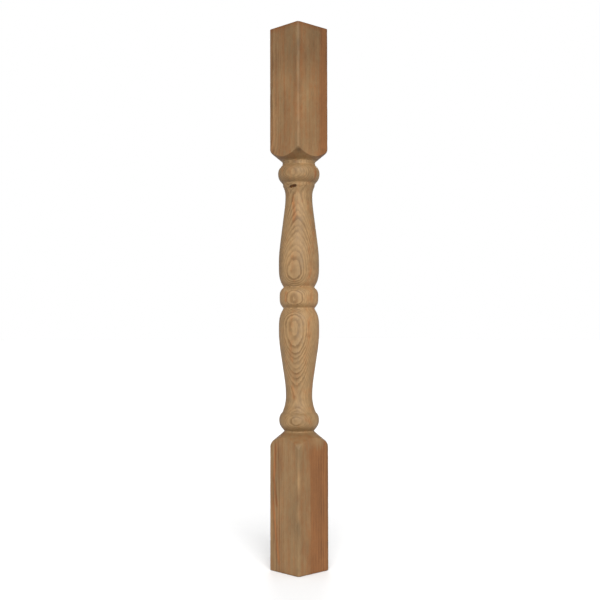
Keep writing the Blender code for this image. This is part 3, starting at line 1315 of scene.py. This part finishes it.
    def faces(self, rows: int, columns: int) -> list[list[int]]:
        """Join the points of the skin into faces, with a fan at the middle of each end.

        Args:
            rows: how many rows the skin has.
            columns: how many points each row has.

        Returns:
            The corners of each face as numbers of points, the two middles counted last.
        """
        middles = {-1: rows * columns, rows: rows * columns + 1}
        return [
            [middles.get(row, row * columns + column % columns) for row, column in ring]
            for ring in self.rings_of_corners(rows, columns)
        ]

    def lay_flat(self, mesh: bpy.types.Mesh, points: np.ndarray) -> None:
        """Lay the skin out flat on one map: two strips of the sides and the two ends.

        Args:
            mesh: the spindle's mesh, its faces in the order that faces() gives.
            points: the skin in metres, rows by columns by three.
        """
        scale, margin = self.map_scale, self.map_margin
        rows, columns = points.shape[:2]
        outline, _ = self.blank.outline()
        steps = np.linalg.norm(np.roll(outline, -1, axis=0) - outline, axis=1)
        around = np.r_[0.0, np.cumsum(steps)] / scale
        gaps = np.linalg.norm(np.diff(points, axis=0), axis=2).mean(axis=1)
        along = np.r_[0.0, np.cumsum(gaps)] / scale
        heights = points[:, :, 2].mean(axis=1)
        split = int(np.argmin(np.abs(heights - self.map_split)))
        side = self.blank.side / scale
        first_side = self.end_rings
        last_side = rows - self.end_rings - 1
        plan = points[:, :, :2] / scale

        def end_place(row: int, column: int, upper: bool) -> Pair:
            """Find an end's point on the map.

            Args:
                row: the point's row, or one past the skin for the middle of the end.
                column: its place in the row.
                upper: whether the upper end is meant.

            Returns:
                Its place across and up the map.
            """
            across = margin + side / 2.0 + (side + margin if upper else 0.0)
            up = margin + side / 2.0
            if row in (-1, rows):
                return across, up
            spot = plan[row, column % columns]
            return across + spot[0], up + spot[1]

        def side_place(row: int, column: int, upper: bool) -> Pair:
            """Give the place of a side's point on the map."""
            start = along[split] if upper else along[first_side]
            shift = self.map_middle if upper else margin
            return shift + around[column], 2.0 * margin + side + along[row] - start

        places = []
        for ring in self.rings_of_corners(rows, columns):
            lowest = min(row for row, _ in ring)
            if lowest < first_side or lowest >= last_side:
                places += [end_place(row, column, lowest >= last_side) for row, column in ring]
            else:
                places += [side_place(row, column, lowest >= split) for row, column in ring]
        layer = mesh.uv_layers.new(name="OFBake")
        layer.uv.foreach_set("vector", np.array(places, np.float32).ravel())

    def stored(self, points: np.ndarray, surfaces: Sequence[Surface]) -> dict[str, np.ndarray]:
        """Work out the numbers that the mesh carries for its material.

        Args:
            points: the plain skin in metres, rows by columns by three.
            surfaces: how each row was worked.

        Returns:
            Under each name, one value for each point and then for the middles of the two ends.
        """
        every = self.with_middles(points) / MILLIMETRE
        flat = every[:-2]
        sawn = np.repeat([surface is Surface.SAWN for surface in surfaces], points.shape[1])
        sawn = np.r_[sawn, True, True]
        upward = self.normals(points)[:, :, 2].reshape(-1)
        # Darker where the surface cuts across the fibres, as on the shoulders and at the sawn rims. On
        # downward faces it starts sooner and goes further: painted shade under the beads and the upper
        # shoulder.
        across = smooth_step(upward, *self.upward_span) + smooth_step(-upward, *self.underside_shade_span)
        from_end = np.minimum(flat[:, 2], self.blank.length / MILLIMETRE - flat[:, 2])
        across = np.maximum(across, smooth_step(from_end, *self.rim_span))
        # Painted highlight along the bottom of each crease: the darkening there is lifted and the tone made
        # lighter.
        groove_highlight = np.zeros(len(every))
        for crease in self.creases():
            groove_highlight = np.maximum(groove_highlight, crease.bottom(every * MILLIMETRE))
        across = across * (1.0 - self.groove_shade_lift * groove_highlight[:-2])
        tone = self.colouring.tone(every) * (1.0 + self.groove_painted_highlight * groove_highlight)
        calm = 1.0 - self.planed_calm * self.colouring.planed(every[:, 2])
        return {
            "years": self.rings.years(every, self.knot),
            "warmth": self.colouring.warmth(every),
            "tone": tone * np.where(sawn, self.sawn_tone, 1.0),
            "end_grain_and_underside_shade": np.where(sawn, 1.0, np.r_[across, 1.0, 1.0]),
            "contrast": np.where(sawn, self.sawn_contrast, self.colouring.contrast(every)),
            "from_knot": self.knot.spread(every),
            "raggedness": self.turned_raggedness * calm,
        }

    def with_middles(self, points: np.ndarray) -> np.ndarray:
        """Give the skin's points in metres as one list, with the middles of the two ends after them."""
        return np.vstack([points.reshape(-1, 3), [[0.0, 0.0, 0.0], [0.0, 0.0, self.blank.length]]])

    def build(self) -> bpy.types.Object:
        """Build the spindle's mesh with its relief, its stored numbers and its map.

        Returns:
            The spindle, in the frame's own place.
        """
        laid, surfaces = zip(*self.skin())
        points = np.array(laid)
        for crease in self.creases():
            points = crease.soften(points)
        rows, columns = points.shape[:2]
        stored = self.stored(points, surfaces)
        years = stored["years"][:-2].reshape(rows, columns)
        relief = self.relief(points / MILLIMETRE, surfaces, years)
        shaped = points + self.normals(points) * relief[:, :, None]
        mesh = bpy.data.meshes.new(self.name)
        mesh.from_pydata(self.with_middles(shaped).tolist(), [], self.faces(rows, columns))
        mesh.polygons.foreach_set("use_smooth", [True] * len(mesh.polygons))
        mesh.set_sharp_from_angle(angle=math.radians(self.sharp_angle))
        for name, values in stored.items():
            attribute = mesh.attributes.new(name, "FLOAT", "POINT")
            attribute.data.foreach_set("value", values.astype(np.float32))
        self.lay_flat(mesh, shaped)
        mesh.materials.append(self.finish.make())
        spindle = bpy.data.objects.new(self.name, mesh)
        bpy.context.scene.collection.objects.link(spindle)
        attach(spindle, BODY)
        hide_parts(CAD_NODE)
        triangles = sum(len(p.vertices) - 2 for p in mesh.polygons)
        LOG.info("%s: %d points, %d triangles", self.name, len(mesh.vertices), triangles)
        return spindle


@dataclass(frozen=True)
class PaleFloorPaint:
    """Matt white paint for the studio floor."""

    name: str = "pale_floor"
    colour: Colour = tint(0.88, 0.88, 0.88)
    shade: Colour = tint(0.86, 0.86, 0.86)
    roughness: float = 0.9
    gloss: float = 0.1
    mottle: Grain = Grain((3.0, 3.0, 3.0), roughness=0.55)
    mottle_span: Pair = (-0.3, 0.3)

    def make(self) -> bpy.types.Material:
        """Build the paint's nodes.

        Returns:
            The finished material.
        """
        material = bpy.data.materials.new(self.name)
        bench = Bench(material)
        mottle = bench.rise(bench.lumps(bench.place(), self.mottle), *self.mottle_span)
        colour = bench.blend(mottle, self.colour, self.shade)
        bench.dress({"Base Color": colour, "Roughness": self.roughness, "Specular IOR Level": self.gloss})
        return material


@dataclass(frozen=True)
class SoftLamp:
    """A large soft lamp that looks at the spindle, in metres and in degrees as the camera's are counted."""

    name: str
    azimuth: float
    elevation: float
    spread: float
    power: float
    distance: float = 2.6
    aim_height: float = 0.42

    def hang(self) -> None:
        """Hang the lamp."""
        lamp = bpy.data.lights.new(self.name, "SUN")
        lamp.angle = math.radians(self.spread)
        lamp.energy = self.power
        turn = math.radians(self.azimuth)
        lift = math.radians(self.elevation)
        back = Vector((math.sin(turn) * math.cos(lift), -math.cos(turn) * math.cos(lift), math.sin(lift)))
        hung = bpy.data.objects.new(self.name, lamp)
        hung.location = Vector((0.0, 0.0, self.aim_height)) + back * self.distance
        hung.rotation_mode = "QUATERNION"
        hung.rotation_quaternion = back.to_track_quat("Z", "Y")
        bpy.context.scene.collection.objects.link(hung)


@dataclass
class SoftStudio:
    """A white floor and soft light from the front and from behind, in metres."""

    floor_size: float = 60.0
    floor_drop: float = 0.0003
    room_light: float = 0.54
    room_white: float = 1.0
    key: SoftLamp = SoftLamp("soft_key", azimuth=50.0, elevation=28.0, spread=40.0, power=4.1)
    back_fill: SoftLamp = SoftLamp("back_fill", azimuth=226.0, elevation=12.0, spread=20.0, power=1.3)
    paint: PaleFloorPaint = field(default_factory=PaleFloorPaint)

    def build_floor(self) -> bpy.types.Object:
        """Lay the floor that the spindle stands on.

        Returns:
            The floor.
        """
        half = self.floor_size / 2.0
        corners = [(-half, -half), (half, -half), (half, half), (-half, half)]
        mesh = bpy.data.meshes.new("floor")
        mesh.from_pydata([(x, y, -self.floor_drop) for x, y in corners], [], [(0, 1, 2, 3)])
        mesh.materials.append(self.paint.make())
        floor = bpy.data.objects.new("floor", mesh)
        bpy.context.scene.collection.objects.link(floor)
        return floor

    def build_world(self) -> None:
        """Light the room evenly, and let it show as plain white."""
        world = bpy.data.worlds.new("white_room")
        bench = Bench(world)
        seen = bench.flow(bench.node("ShaderNodeLightPath"), "Is Camera Ray")
        strength = seen * (self.room_white - self.room_light) + self.room_light
        glow = bench.node("ShaderNodeBackground", {}, {"Color": tint(1.0, 1.0, 1.0), "Strength": strength})
        bench.node("ShaderNodeOutputWorld", {}, {"Surface": bench.flow(glow)})
        bpy.context.scene.world = world

    def build(self) -> None:
        """Set up the floor, the room and the lamps."""
        self.build_floor()
        self.build_world()
        self.key.hang()
        self.back_fill.hang()
        view = bpy.context.scene.view_settings
        view.view_transform = "Standard"
        view.look = "None"
        LOG.info("studio: floor, white room and two soft lamps")


@dataclass
class PhotoCamera:
    """The camera at the photograph's place, in metres, degrees and pixels."""

    focal_pixels: float = 1007.73
    distance: float = 1.5139
    azimuth: float = 46.275
    height: float = 0.35617
    pitch: float = 1.7615
    yaw: float = 0.0576
    roll: float = -0.077
    sensor: float = 36.0
    level_tilt: float = 90.0
    clip_near: float = 0.05
    clip_far: float = 200.0

    def build(self) -> bpy.types.Object:
        """Stand the camera and make it the scene's own.

        Returns:
            The camera.
        """
        turn = math.radians(self.azimuth)
        place = (math.sin(turn) * self.distance, -math.cos(turn) * self.distance, self.height)
        turned = Matrix.Rotation(math.radians(self.azimuth - self.yaw), 4, "Z")
        turned = turned @ Matrix.Rotation(math.radians(self.level_tilt + self.pitch), 4, "X")
        turned = turned @ Matrix.Rotation(math.radians(self.roll), 4, "Z")
        data = bpy.data.cameras.new("photo_camera")
        data.sensor_width = self.sensor
        data.lens = self.focal_pixels * self.sensor / PHOTO_SIDE
        data.clip_start = self.clip_near
        data.clip_end = self.clip_far
        camera = bpy.data.objects.new("photo_camera", data)
        camera.matrix_world = Matrix.Translation(place) @ turned
        bpy.context.scene.collection.objects.link(camera)
        bpy.context.scene.camera = camera
        LOG.info("camera: %.2f mm lens, %.3f m away", data.lens, self.distance)
        return camera


def main() -> None:
    """Build the camera, the studio and the spindle, in that order."""
    logging.basicConfig(level=logging.INFO, format="%(name)s: %(message)s")
    PhotoCamera().build()
    SoftStudio().build()
    TurnedSpindle().build()


if __name__ == "__main__":
    main()
